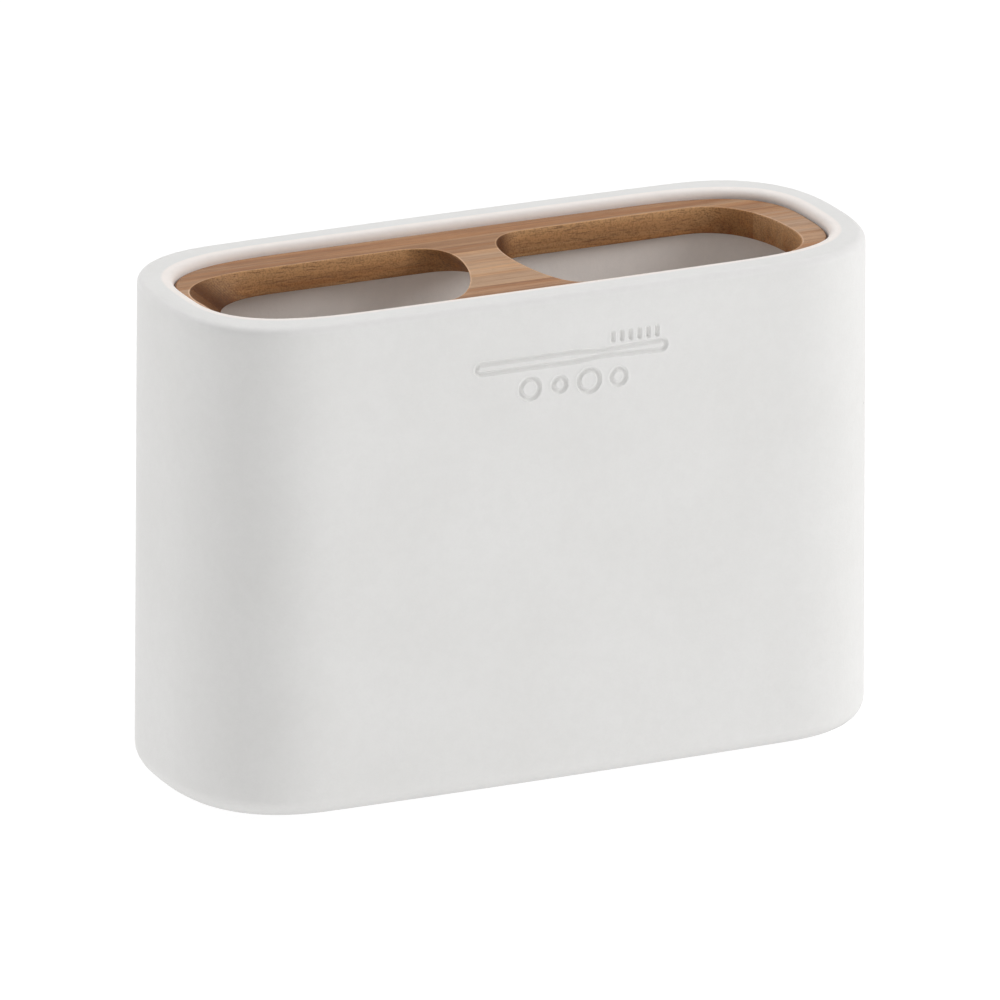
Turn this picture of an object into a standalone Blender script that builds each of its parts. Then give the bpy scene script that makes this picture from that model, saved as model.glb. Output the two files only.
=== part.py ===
"""Toothbrush holder: a cast resin cup with a lift-out bamboo insert that rests on an inner ledge.

Units are metres, +Z is up, and the origin is the middle of the base on the surface it stands on.
+X runs along the long side, and -Y is the front, which carries a shallow engraved motif.
"""
import math

import bmesh
import bpy
from mathutils import Matrix, Vector

# Cup: outer shape
HEIGHT = 0.09525
HALF_LENGTH = 0.0700
HALF_WIDTH = 0.0273
SIDE_CROWN = 0.0011
NOSE_LENGTH = 0.0246
NOSE_POWER = 2.55
SIDE_TAPER = 0.00074
BASE_ROUND = 0.0041
RIM_OUTER_ROUND = 0.0015
RIM_INNER_ROUND = 0.0013

# Cup: inside
WELL_HALF_LENGTH = 0.0633
WELL_HALF_WIDTH = 0.0207
WELL_CROWN = 0.0006
WELL_NOSE = 0.0290
WELL_POWER = 3.0
LEDGE_WIDTH = 0.0034
FLOOR_THICKNESS = 0.0070
CAVITY_TAPER = 0.0010
FLOOR_ROUND = 0.0060

# Bamboo insert
INSERT_RECESS = 0.0015
INSERT_THICKNESS = 0.0052
INSERT_CLEARANCE = 0.0003
BACK_JOINT_Y = 0.0075
FRONT_JOINT_Y = -0.0130
LEFT_SPLIT_X = -0.0350
RIGHT_SPLIT_X = 0.0300

# Openings: their extents, then the lengths of the rounded left and right ends and how much those ends lean, as
# a shift along X per metre of Y, for the back half and for the front half. Towards the underside the left
# opening's outer end slopes in, and its other end slopes out under the bridge, which leaves a thin edge there
# to lift the insert by.
OPENING_POWER = 2.4
OPENING_FRONT_Y = -0.0178
LEFT_OPENING = {
    "left": -0.0613,
    "right": -0.0084,
    "back": 0.0135,
    "back_noses": (0.0183, 0.0075),
    "front_noses": (0.0183, 0.0120),
    "back_leans": (-0.12, 0.27),
    "front_leans": (0.02, 0.30),
}
LEFT_OPENING_FOOT = LEFT_OPENING | {
    "left": -0.0552,
    "right": -0.0020,
    "back_noses": (0.0145, 0.0075),
    "front_noses": (0.0125, 0.0120),
    "back_leans": (-0.06, 0.27),
    "front_leans": (-0.16, 0.30),
}
RIGHT_OPENING = {
    "left": 0.0022,
    "right": 0.0570,
    "back": 0.0153,
    "back_noses": (0.0095, 0.0130),
    "front_noses": (0.0070, 0.0130),
    "back_leans": (-0.05, -0.08),
    "front_leans": (-0.08, -0.08),
}

# Anti-slip pads
PAD_RADIUS = 0.0060
PAD_THICKNESS = 0.0012
PAD_PROUD = 0.0005
PAD_X = 0.0480
PAD_Y = 0.0130

# Engraved motif on the front: a toothbrush seen from the side, above a row of bubbles
MOTIF_DEPTH = 0.00050
MOTIF_STROKE = 0.00070
BRUSH_LEFT_X = -0.0184
BRUSH_RIGHT_X = 0.0200
BRUSH_TOP_Z = 0.0866
BRUSH_BOTTOM_Z = 0.0822
HALF_HANDLE = 0.0009
HALF_NECK = 0.0005
NECK_START_X = 0.0016
NECK_END_X = 0.0066
TUFT_COUNT = 6
TUFT_FIRST_X = 0.0092
TUFT_SPACING = 0.0018
TUFT_BOTTOM_Z = 0.0852
BUBBLE_ROW_Z = 0.07815
BUBBLE_FIRST_X = -0.0076
BUBBLE_SPACING = 0.0060
BUBBLE_RADII = (0.0019, 0.0013, 0.0021, 0.0015)

# Fit and mesh density
TOUCH_GAP = 0.0003
JOINT_GAP = 0.0003
NOSE_STEPS = 14
SIDE_STEPS = 6
ROUND_STEPS = 4
CIRCLE_STEPS = 32
HANDLE_END_STEPS = 6
BUBBLE_STEPS = 16
GROOVE_OVERRUN = 0.0010
CUT_OVERRUN = 0.0200
SMOOTH_ANGLE = math.radians(30.0)

RESIN = ("white_resin", (0.85, 0.84, 0.83, 1.0), 0.62)
BAMBOO = ("carbonised_bamboo", (0.41, 0.23, 0.13, 1.0), 0.55)
BAMBOO_LIGHT = ("carbonised_bamboo_light", (0.52, 0.33, 0.20, 1.0), 0.55)
EVA = ("grey_eva_foam", (0.18, 0.18, 0.18, 1.0), 0.90)

UNDERSIDE_Z = PAD_PROUD
INSERT_TOP_Z = HEIGHT - INSERT_RECESS
INSERT_BOTTOM_Z = INSERT_TOP_Z - INSERT_THICKNESS
LEDGE_Z = INSERT_BOTTOM_Z - TOUCH_GAP
FLOOR_Z = UNDERSIDE_Z + FLOOR_THICKNESS


def clear_scene():
    for obj in list(bpy.data.objects):
        bpy.data.objects.remove(obj, do_unlink=True)


def make_material(spec):
    name, colour, roughness = spec
    material = bpy.data.materials.new(name)
    material.use_nodes = True
    shader = material.node_tree.nodes["Principled BSDF"]
    shader.inputs["Base Color"].default_value = colour
    shader.inputs["Roughness"].default_value = roughness
    shader.inputs["Metallic"].default_value = 0.0
    return material


def add_object(name, mesh, material):
    obj = bpy.data.objects.new(name, mesh)
    bpy.context.scene.collection.objects.link(obj)
    if material:
        mesh.materials.append(material)
    return obj


def finish_mesh(name, bm):
    bmesh.ops.recalc_face_normals(bm, faces=bm.faces)
    mesh = bpy.data.meshes.new(name)
    bm.to_mesh(mesh)
    bm.free()
    mesh.shade_smooth()
    mesh.set_sharp_from_angle(angle=SMOOTH_ANGLE)
    return mesh


def nose_quarter(half_width, nose, power):
    """Offsets (along, across) of a superelliptic quarter, from the tip round to the side."""
    points = []
    for step in range(NOSE_STEPS + 1):
        angle = 0.5 * math.pi * step / NOSE_STEPS
        along = nose * math.cos(angle) ** (2.0 / power) if step < NOSE_STEPS else 0.0
        across = half_width * math.sin(angle) ** (2.0 / power)
        points.append((along, across))
    return points


def oblong(left, right, half_width, left_nose, right_nose, power, crown=0.0):
    """A long outline with superelliptic ends and crowned sides, counter-clockwise from the +X tip."""
    start = right - right_nose
    stop = left + left_nose
    upper = [(start + along, across) for along, across in nose_quarter(half_width, right_nose, power)]
    for step in range(1, SIDE_STEPS):
        upper.append((start + (stop - start) * step / SIDE_STEPS, half_width))
    left_quarter = nose_quarter(half_width, left_nose, power)
    upper += [(stop - along, across) for along, across in reversed(left_quarter)]
    middle = 0.5 * (left + right)
    reach = 0.5 * (right - left)
    swollen = []
    for x, y in upper:
        swell = 1.0 + crown / half_width * (1.0 - ((x - middle) / reach) ** 2)
        swollen.append((x, y * swell))
    lower = [(x, -y) for x, y in reversed(swollen[1:-1])]
    return swollen + lower


def cup_outline(inset):
    return oblong(-HALF_LENGTH + inset, HALF_LENGTH - inset, HALF_WIDTH - inset,
                  NOSE_LENGTH - inset, NOSE_LENGTH - inset, NOSE_POWER, SIDE_CROWN)


def well_outline(inset):
    return oblong(-WELL_HALF_LENGTH + inset, WELL_HALF_LENGTH - inset, WELL_HALF_WIDTH - inset,
                  WELL_NOSE - inset, WELL_NOSE - inset, WELL_POWER, WELL_CROWN)


def opening_half(opening, side):
    """One half of an opening's outline, the back or the front, whose rounded ends may lean along X."""
    left = opening["left"]
    right = opening["right"]
    left_nose, right_nose = opening[f"{side}_noses"]
    left_lean, right_lean = opening[f"{side}_leans"]
    middle_y = 0.5 * (opening["back"] + OPENING_FRONT_Y)
    half_width = 0.5 * (opening["back"] - OPENING_FRONT_Y)
    outline = oblong(left, right, half_width, left_nose, right_nose, OPENING_POWER)
    back_count = len(outline) // 2 + 1
    half = outline[:back_count] if side == "back" else outline[back_count:]
    points = []
    for x, y in half:
        left_share = max(0.0, left + left_nose - x) / left_nose
        right_share = max(0.0, x - right + right_nose) / right_nose
        points.append((x + y * (left_lean * left_share + right_lean * right_share), y + middle_y))
    return points


def opening_outline(opening):
    return opening_half(opening, "back") + opening_half(opening, "front")


def taper_inset(z):
    """The cup's wall leans in by SIDE_TAPER from its foot to its rim."""
    return SIDE_TAPER * (z / HEIGHT - 0.5)


def quarter_round(radius):
    """(rise, run) pairs that turn a corner of this radius, from its start to its end."""
    pairs = []
    for step in range(ROUND_STEPS + 1):
        angle = 0.5 * math.pi * step / ROUND_STEPS
        pairs.append((radius * math.sin(angle), radius * (1.0 - math.cos(angle))))
    return pairs


def cup_rings():
    """The cup's section as rings, from the underside, up the outside and down the inside to the floor."""
    rings = []
    for rise, run in reversed(quarter_round(BASE_ROUND)):
        z = UNDERSIDE_Z + BASE_ROUND - rise
        rings.append((cup_outline(run + taper_inset(z)), z))
    for rise, run in quarter_round(RIM_OUTER_ROUND):
        z = HEIGHT - RIM_OUTER_ROUND + rise
        rings.append((cup_outline(run + taper_inset(z)), z))
    for rise, run in reversed(quarter_round(RIM_INNER_ROUND)):
        rings.append((well_outline(-run), HEIGHT - RIM_INNER_ROUND + rise))
    rings.append((well_outline(0.0), LEDGE_Z))
    rings.append((well_outline(LEDGE_WIDTH), LEDGE_Z))
    foot_inset = LEDGE_WIDTH + CAVITY_TAPER
    for rise, run in quarter_round(FLOOR_ROUND):
        rings.append((well_outline(foot_inset + run), FLOOR_Z + FLOOR_ROUND - rise))
    return rings


def loft(name, rings):
    """A closed solid through rings of equal point count, capped at both ends."""
    bm = bmesh.new()
    loops = [[bm.verts.new((x, y, z)) for x, y in points] for points, z in rings]
    for lower, upper in zip(loops, loops[1:]):
        for index in range(len(lower)):
            after = (index + 1) % len(lower)
            bm.faces.new((lower[index], lower[after], upper[after], upper[index]))
    bm.faces.new(list(reversed(loops[0])))
    bm.faces.new(loops[-1])
    return finish_mesh(name, bm)


def prism(name, outline, bottom, top):
    return loft(name, [(outline, bottom), (outline, top)])


def disc(name, radius, centre, bottom, top):
    steps = range(CIRCLE_STEPS)
    turns = [2.0 * math.pi * step / CIRCLE_STEPS for step in steps]
    outline = [(centre[0] + radius * math.cos(turn), centre[1] + radius * math.sin(turn)) for turn in turns]
    return prism(name, outline, bottom, top)


def box(name, low, high):
    outline = [(low[0], low[1]), (high[0], low[1]), (high[0], high[1]), (low[0], high[1])]
    return prism(name, outline, low[2], high[2])


def add_cutter(name, mesh):
    cutter = add_object(name, mesh, None)
    cutter.hide_render = True
    cutter.display_type = "WIRE"
    return cutter


def add_boolean(obj, cutter, operation="DIFFERENCE"):
    modifier = obj.modifiers.new(cutter.name, "BOOLEAN")
    modifier.object = cutter
    modifier.operation = operation
    modifier.solver = "EXACT"


def pad_places():
    return {
        "pad_front_left": (-PAD_X, -PAD_Y),
        "pad_front_right": (PAD_X, -PAD_Y),
        "pad_back_left": (-PAD_X, PAD_Y),
        "pad_back_right": (PAD_X, PAD_Y),
    }


def front_surface_y(x, z):
    """How far forward the cup's front wall stands at a place on its straight side."""
    inset = taper_inset(z)
    width = HALF_WIDTH - inset
    reach = HALF_LENGTH - inset
    return -width - SIDE_CROWN * (1.0 - (x / reach) ** 2)


def stroke_prism(points, closed, name):
    """A groove cutter along a path in the XZ plane of the front wall, as wide as MOTIF_STROKE."""
    half = 0.5 * MOTIF_STROKE
    count = len(points)
    bm = bmesh.new()
    sections = []
    for index, point in enumerate(points):
        before = points[index - 1] if closed or index else point
        after = points[(index + 1) % count] if closed or index < count - 1 else point
        along = (Vector(after) - Vector(before)).normalized()
        side = Vector((-along.y, along.x)) * half
        if before == point:
            point = tuple(Vector(point) - along * half)
        if after == point:
            point = tuple(Vector(point) + along * half)
        deep = front_surface_y(point[0], point[1]) + MOTIF_DEPTH
        near = deep - MOTIF_DEPTH - GROOVE_OVERRUN
        left = Vector(point) + side
        right = Vector(point) - side
        corners = ((left, near), (right, near), (right, deep), (left, deep))
        sections.append([bm.verts.new((flat.x, y, flat.y)) for flat, y in corners])
    pairs = list(zip(sections, sections[1:]))
    if closed:
        pairs.append((sections[-1], sections[0]))
    else:
        bm.faces.new(sections[0])
        bm.faces.new(list(reversed(sections[-1])))
    for first, second in pairs:
        for index in range(4):
            after = (index + 1) % 4
            bm.faces.new((first[index], second[index], second[after], first[after]))
    return finish_mesh(name, bm)


def arc(centre, radius, start, stop, steps):
    points = []
    for step in range(steps + 1):
        angle = math.radians(start + (stop - start) * step / steps)
        points.append((centre[0] + radius * math.cos(angle), centre[1] + radius * math.sin(angle)))
    return points


def brush_outline():
    """The side view of a toothbrush as one closed line: a handle that narrows to a neck and a long head."""
    spine_z = BRUSH_BOTTOM_Z + HALF_HANDLE
    tail = (BRUSH_LEFT_X + HALF_HANDLE, spine_z)
    head = (BRUSH_RIGHT_X - HALF_HANDLE, spine_z)
    points = arc(tail, HALF_HANDLE, 90.0, 270.0, HANDLE_END_STEPS)
    points += [(NECK_START_X, spine_z - HALF_HANDLE), (NECK_END_X, spine_z - HALF_NECK)]
    points += arc(head, HALF_HANDLE, -90.0, 90.0, HANDLE_END_STEPS)
    points += [(NECK_END_X, spine_z + HALF_NECK), (NECK_START_X, spine_z + HALF_HANDLE)]
    return points


def tuft_line(index):
    """An upright stroke above the head."""
    x = TUFT_FIRST_X + TUFT_SPACING * index
    return [(x, TUFT_BOTTOM_Z), (x, BRUSH_TOP_Z)]


def bubble_ring(index):
    centre = (BUBBLE_FIRST_X + BUBBLE_SPACING * index, BUBBLE_ROW_Z)
    return arc(centre, BUBBLE_RADII[index], 0.0, 360.0, BUBBLE_STEPS)[:-1]


def motif_cutters():
    cutters = [add_cutter("motif_brush", stroke_prism(brush_outline(), True, "motif_brush"))]
    for index in range(TUFT_COUNT):
        name = f"motif_tuft_{index}"
        cutters.append(add_cutter(name, stroke_prism(tuft_line(index), False, name)))
    for index in range(len(BUBBLE_RADII)):
        name = f"motif_bubble_{index}"
        cutters.append(add_cutter(name, stroke_prism(bubble_ring(index), True, name)))
    return cutters


def build_cup(material):
    cup = add_object("cup_body", loft("cup_body", cup_rings()), material)
    for name, (x, y) in pad_places().items():
        seat_top = PAD_THICKNESS + TOUCH_GAP
        seat = disc(f"seat_{name}", PAD_RADIUS + TOUCH_GAP, (x, y), -CUT_OVERRUN, seat_top)
        add_boolean(cup, add_cutter(f"seat_{name}", seat))
    for cutter in motif_cutters():
        add_boolean(cup, cutter)
    return cup


def build_pads(material):
    for name, (x, y) in pad_places().items():
        pad = add_object(name, disc(name, PAD_RADIUS, (0.0, 0.0), 0.0, PAD_THICKNESS), material)
        pad.matrix_world = Matrix.Translation((x, y, 0.0))


def opening_cutter(name, top_shape, foot_shape):
    """A cutter whose wall runs straight from the board's underside to its top, and on past both."""
    top = opening_outline(top_shape)
    foot = opening_outline(foot_shape)
    levels = [(foot, INSERT_BOTTOM_Z - CUT_OVERRUN), (foot, INSERT_BOTTOM_Z), (top, INSERT_TOP_Z),
              (top, INSERT_TOP_Z + CUT_OVERRUN)]
    return add_cutter(name, loft(name, levels))


def insert_cutters():
    return [
        opening_cutter("cut_opening_left", LEFT_OPENING, LEFT_OPENING_FOOT),
        opening_cutter("cut_opening_right", RIGHT_OPENING, RIGHT_OPENING),
    ]


def stave_strips():
    """The share of the board that each glued stave fills, as a low and a high corner in X and Y."""
    gap = 0.5 * JOINT_GAP
    far = HALF_LENGTH
    back = BACK_JOINT_Y
    front = FRONT_JOINT_Y
    return {
        "insert_back_stave": ((-far, back + gap), (far, far)),
        "insert_front_stave": ((-far, -far), (far, front - gap)),
        "insert_left_end": ((-far, front + gap), (LEFT_SPLIT_X, back - gap)),
        "insert_bridge": ((LEFT_SPLIT_X, front + gap), (RIGHT_SPLIT_X, back - gap)),
        "insert_right_end": ((RIGHT_SPLIT_X, front + gap), (far, back - gap)),
    }


def build_insert(dark, light):
    """The board is sawn from glued staves; each stave is its own solid, cut by the shared openings."""
    cutters = insert_cutters()
    board = well_outline(INSERT_CLEARANCE)
    for name, (low, high) in stave_strips().items():
        material = light if name == "insert_bridge" else dark
        stave = add_object(name, prism(name, board, INSERT_BOTTOM_Z, INSERT_TOP_Z), material)
        strip_low = (low[0], low[1], INSERT_BOTTOM_Z - CUT_OVERRUN)
        strip_high = (high[0], high[1], INSERT_TOP_Z + CUT_OVERRUN)
        strip = add_cutter(f"strip_{name}", box(f"strip_{name}", strip_low, strip_high))
        add_boolean(stave, strip, "INTERSECT")
        for cutter in cutters:
            add_boolean(stave, cutter)


def main():
    clear_scene()
    build_cup(make_material(RESIN))
    build_pads(make_material(EVA))
    build_insert(make_material(BAMBOO), make_material(BAMBOO_LIGHT))


main()
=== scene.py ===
import math

import bmesh
import bpy
import numpy as np
from mathutils import Matrix, Vector


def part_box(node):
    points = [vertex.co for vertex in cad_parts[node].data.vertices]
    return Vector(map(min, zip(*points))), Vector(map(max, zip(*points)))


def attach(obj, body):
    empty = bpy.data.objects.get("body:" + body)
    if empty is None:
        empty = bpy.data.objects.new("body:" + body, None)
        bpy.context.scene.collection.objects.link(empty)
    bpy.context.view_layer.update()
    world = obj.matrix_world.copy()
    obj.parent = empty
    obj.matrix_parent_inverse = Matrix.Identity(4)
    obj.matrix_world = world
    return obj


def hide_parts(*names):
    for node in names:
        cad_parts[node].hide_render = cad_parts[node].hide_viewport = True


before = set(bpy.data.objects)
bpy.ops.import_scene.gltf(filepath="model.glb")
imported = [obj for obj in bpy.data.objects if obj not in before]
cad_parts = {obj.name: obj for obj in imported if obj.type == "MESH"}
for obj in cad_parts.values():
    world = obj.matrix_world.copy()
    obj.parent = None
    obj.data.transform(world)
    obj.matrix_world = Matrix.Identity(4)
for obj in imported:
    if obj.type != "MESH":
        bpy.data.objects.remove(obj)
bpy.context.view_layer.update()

# Cup section, in metres. Heights, length and width come from the frame.
SIDE_CROWN = 0.0011
NOSE_LENGTH = 0.0246
NOSE_POWER = 2.55
SIDE_TAPER = 0.00074
BASE_ROUND = 0.0041
RIM_OUTER_ROUND = 0.0015
RIM_INNER_ROUND = 0.0013
WELL_HALF_LENGTH = 0.0633
WELL_HALF_WIDTH = 0.0207
WELL_CROWN = 0.0006
WELL_NOSE = 0.0290
WELL_POWER = 3.0
LEDGE_WIDTH = 0.0034
LEDGE_GAP = 0.0003
FLOOR_THICKNESS = 0.0070
CAVITY_TAPER = 0.0010
FLOOR_ROUND = 0.0060
SEAT_GAP = 0.0003

# Foam pads
PAD_EDGE_ROUND = 0.0002
SEAT_CUT_DEPTH = 0.0100

# Insert
INSERT_CLEARANCE = 0.0003
EDGE_ROUND = 0.0003
EDGE_MARGIN = 0.0001
# How far past the openings' top round the painted edge highlight fades out
HIGHLIGHT_MARGIN = 0.00025
BACK_JOINT_Y = 0.0075
FRONT_JOINT_Y = -0.0130
LEFT_SPLIT_X = -0.0350
RIGHT_SPLIT_X = 0.0300
GLUE_GAP = 0.00002
SAW_TOLERANCE = 1e-7

# Openings: their extents, then the lengths of the rounded left and right ends and how much those ends
# lean, as a shift along X per metre of Y, for the back half and for the front half. Towards the underside
# the left opening's outer end slopes in, and its other end slopes out under the bridge, which leaves a thin
# edge there to lift the insert by.
OPENING_POWER = 2.4
OPENING_FRONT_Y = -0.0178
LEFT_OPENING = {
    "left": -0.0613,
    "right": -0.0084,
    "back": 0.0135,
    "back_noses": (0.0183, 0.0075),
    "front_noses": (0.0183, 0.0120),
    "back_leans": (-0.12, 0.27),
    "front_leans": (0.02, 0.30),
}
LEFT_OPENING_FOOT = LEFT_OPENING | {
    "left": -0.0552,
    "right": -0.0020,
    "back_noses": (0.0145, 0.0075),
    "front_noses": (0.0125, 0.0120),
    "back_leans": (-0.06, 0.27),
    "front_leans": (-0.16, 0.30),
}
RIGHT_OPENING = {
    "left": 0.0022,
    "right": 0.0570,
    "back": 0.0153,
    "back_noses": (0.0095, 0.0130),
    "front_noses": (0.0070, 0.0130),
    "back_leans": (-0.05, -0.08),
    "front_leans": (-0.08, -0.08),
}

# Engraved motif: its strokes have soft edges with a low raised lip. It lies on the front wall, which is
# all of the outside that is less than FRONT_WALL_BAND behind the straight side.
MOTIF_DEPTH = 0.00050
MOTIF_STROKE = 0.00070
MOTIF_SOFTNESS = 0.00018
LIP_HEIGHT = 0.00007
LIP_WIDTH = 0.00060
MOTIF_MARGIN = 0.0012
FRONT_WALL_BAND = 0.0010
BRUSH_LEFT_X = -0.0184
BRUSH_RIGHT_X = 0.0200
BRUSH_TOP_Z = 0.0866
BRUSH_BOTTOM_Z = 0.0822
HALF_HANDLE = 0.0009
HALF_NECK = 0.0005
NECK_START_X = 0.0016
NECK_END_X = 0.0066
TUFT_COUNT = 6
TUFT_FIRST_X = 0.0092
TUFT_SPACING = 0.0018
TUFT_BOTTOM_Z = 0.0852
BUBBLE_ROW_Z = 0.07815
BUBBLE_FIRST_X = -0.0076
BUBBLE_SPACING = 0.0060
BUBBLE_RADII = (0.0019, 0.0013, 0.0021, 0.0015)

# Mesh density: steps round each curve, the spacing inside and outside the motif, the overlap of flat faces
# beyond a curve, and where rings lie, as shares of a wall's height or of the ledge's width
NOSE_STEPS = 40
SIDE_STEPS = 30
ROUND_STEPS = 7
EDGE_STEPS = 4
DISC_STEPS = 96
BRUSH_END_STEPS = 12
BUBBLE_STEPS = 32
FINE_STEP = 0.0002
COARSE_STEP = 0.0030
CAP_MARGIN = 0.0004
SHARP_ANGLE = 35.0
WELL_RINGS = (0.5, 0.05, 0.0)
LEDGE_RINGS = (0.1, 0.9, 1.0)
CAVITY_RINGS = (0.02, 0.25, 0.5, 0.75)

# Resin: its clouds from dark to light, then the painted light and shade of its marked parts. The cavity is
# painted lighter and warmer, and painted shade darkens it towards its left end, over a stretch of X. The
# inner wall and edge are painted lighter and warmer, the rim's outer round lighter, and the foot darker
# with painted shade. The painted light on the inner edge fades out over EDGE_FADE of the rim.
CLOUD_TONES = ((0.842, 0.835, 0.820), (0.872, 0.866, 0.854))
CAVITY_LIGHT_TONE = (0.960, 0.915, 0.880)
CAVITY_END_SHADE_TONE = (0.480, 0.400, 0.350)
CAVITY_END_SHADE_X = (-0.058, -0.030)
CAVITY_END_SHADE_SHARE = 0.75
INNER_LIGHT_TONE = (0.985, 0.925, 0.885)
OUTER_LIGHT_TONE = (0.915, 0.905, 0.895)
FOOT_SHADE_TONE = (0.570, 0.565, 0.555)
EDGE_FADE = 0.0010

# Resin texture. Each noise is a number of features per metre, then its detail and roughness. A band is the
# stretch of a noise over which its tone comes in, up to a share. Bump heights are in metres.
CLOUDS = (38.0, 3.0, 0.55)
CLOUD_BAND = (0.30, 0.70)
GRAINS = (2600.0, 2.0, 0.60)
GRAIN_BAND = (0.35, 0.75)
GRAIN_SHARE = 0.06
GRAIN_TONE = (0.680, 0.670, 0.655)
MOTTLES = (480.0, 3.0, 0.60)
MOTTLE_BAND = (0.35, 0.65)
MOTTLE_SHARE = 0.07
MOTTLE_TONE = (0.700, 0.690, 0.675)
PIT_SCALE = 260.0
PIT_RADII = (0.03, 0.07)
PIT_RARITY = 0.992
# How far the pits' middles take painted shade, and its tone
PIT_SHADE_SHARE = 0.55
PIT_SHADE_TONE = (0.220, 0.210, 0.200)
PIT_DEPTH = 0.00015
SAND = (900.0, 3.0, 0.55)
SAND_GRAIN_SHARE = 0.6
SAND_HEIGHT = 0.000035
WAVES = (90.0, 2.0, 0.50)
WAVE_HEIGHT = 0.00012

# Bamboo: each stave's darkest and lightest fibres, then what multiplies them on warm streaks, on the cut
# walls (their own warmer tone, partly painted light), on end grain that faces right (with strong painted
# shade) or left, and in speckles. The painted highlight along the openings' upper edges and the dark vessel
# marks are multiples of the lightest and the darkest fibres.
STAVE_TONES = {
    "insert_back_stave": ((0.298, 0.140, 0.063), (0.462, 0.275, 0.157)),
    "insert_front_stave": ((0.310, 0.148, 0.070), (0.480, 0.285, 0.170)),
    "insert_left_end": ((0.425, 0.242, 0.135), (0.655, 0.455, 0.320)),
    "insert_right_end": ((0.365, 0.200, 0.108), (0.555, 0.372, 0.255)),
    "insert_bridge": ((0.445, 0.262, 0.152), (0.600, 0.404, 0.266)),
}
WARM_TINT = (1.10, 0.93, 0.72)
WALL_TONE_AND_LIGHT = (1.06, 0.98, 0.76)
END_GRAIN_SHADE_RIGHT = (0.22, 0.14, 0.075)
END_LEFT_TINT = (0.74, 0.64, 0.52)
SPECKLE_TINT = (0.45, 0.40, 0.36)
HIGHLIGHT_GAIN = 1.34
VESSEL_GAIN = 0.45

# Bamboo texture. Each drawn-out noise is a number of features per metre along X and across it, then its
# detail and roughness. The wood's tone is a sum of fibres, streaks and strips. STAVE_SHIFT moves the
# texture from stave to stave.
FIBRES = (70.0, 2100.0, 4.0, 0.60)
FIBRE_SHARE = 0.40
STREAKS = (16.0, 640.0, 3.0, 0.55)
STREAK_SHARE = 0.35
STRIPS = (8.0, 230.0, 1.0, 0.50)
STRIP_SHARE = 0.25
TONE_BAND = (0.41, 0.59)
WARM_STREAKS = (14.0, 520.0, 2.0, 0.50)
WARM_BAND = (0.38, 0.66)
WARM_SHARE = 0.75
HIGHLIGHT_SHARE = 0.80
END_RIGHT_BAND = (0.05, 0.75)
END_LEFT_BAND = (-0.30, -0.90)
SPECKLES = (2900.0, 2.0, 0.50)
SPECKLE_BAND = (0.46, 0.62)
SPECKLE_SHARE = 0.45
VESSELS = (420.0, 4400.0, 2.0, 0.50)
VESSEL_BAND = (0.54, 0.68)
VESSEL_TOP_SHARE = 0.20
VESSEL_WALL_SHARE = 0.50
VESSEL_DEPTH_SHARE = 0.5
RELIEF_HEIGHT = 0.00005
STAVE_SHIFT = (0.11, 0.07, 0.05)

# Foam: closed cells
FOAM_TONES = ((0.10, 0.10, 0.10), (0.24, 0.24, 0.235))
FOAM_CELL_SCALE = 2400.0
FOAM_CELL_BAND = (0.0, 0.6)
FOAM_CELL_HEIGHT = 0.00008
FOAM_WEAR = (700.0, 2.0, 0.50)

# Surface finish: each roughness goes from its first value to its second with a noise, over NOISE_BAND
NOISE_BAND = (0.3, 0.7)
RESIN_ROUGHNESS = (0.58, 0.72)
BAMBOO_ROUGHNESS = (0.46, 0.64)
FOAM_ROUGHNESS = (0.82, 0.95)
FLOOR_ROUGHNESS = 0.9
SPECULAR = 0.30
FLOOR_SPECULAR = 0.10

# Studio: a pale floor that glows, an even surround, and soft boxes that face a point in the object. Each
# soft box has an azimuth (0 in front, 90 at the right end), an elevation, a side length and a power.
WHITE = (1.0, 1.0, 1.0)
FLOOR_REACH = 8.0
FLOOR_DROP = 0.00005
FLOOR_TONES = ((0.24, 0.24, 0.24), (0.26, 0.26, 0.26))
FLOOR_CLOUDS = (3.0, 2.0, 0.50)
FLOOR_GLOW = 0.86
SURROUND_STRENGTH = 0.30
LIGHT_TARGET = (0.0, 0.0, 0.05)
LIGHT_DISTANCE = 1.6
SOFTBOXES = {
    "key_right": (58.0, 31.0, 0.9, 10.5),
    "rim_left": (-135.0, 30.0, 0.9, 5.1),
    "back": (180.0, 50.0, 0.9, 6.2),
    "top": (0.0, 89.0, 1.0, 4.1),
}

# Camera: from the front left, a little above, through a long lens
VIEW_AZIMUTH = 25.07
VIEW_ELEVATION = 18.435
VIEW_ROLL = 0.259
VIEW_DISTANCE = 2.743
VIEW_LENS = 530.96
AIM_RIGHT = 0.000358
AIM_UP = 0.000814
SENSOR_WIDTH = 36.0
CLIP_START = 0.1
CLIP_END = 40.0


# Outlines

def nose_quarter(half_width, nose, power, steps):
    """Offsets (along, across) of a superelliptic quarter, from the tip round to the side."""
    points = []
    for step in range(steps + 1):
        angle = 0.5 * math.pi * step / steps
        along = nose * math.cos(angle) ** (2.0 / power) if step < steps else 0.0
        points.append((along, half_width * math.sin(angle) ** (2.0 / power)))
    return points


def even_fractions(steps):
    return [step / steps for step in range(1, steps)]


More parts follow.
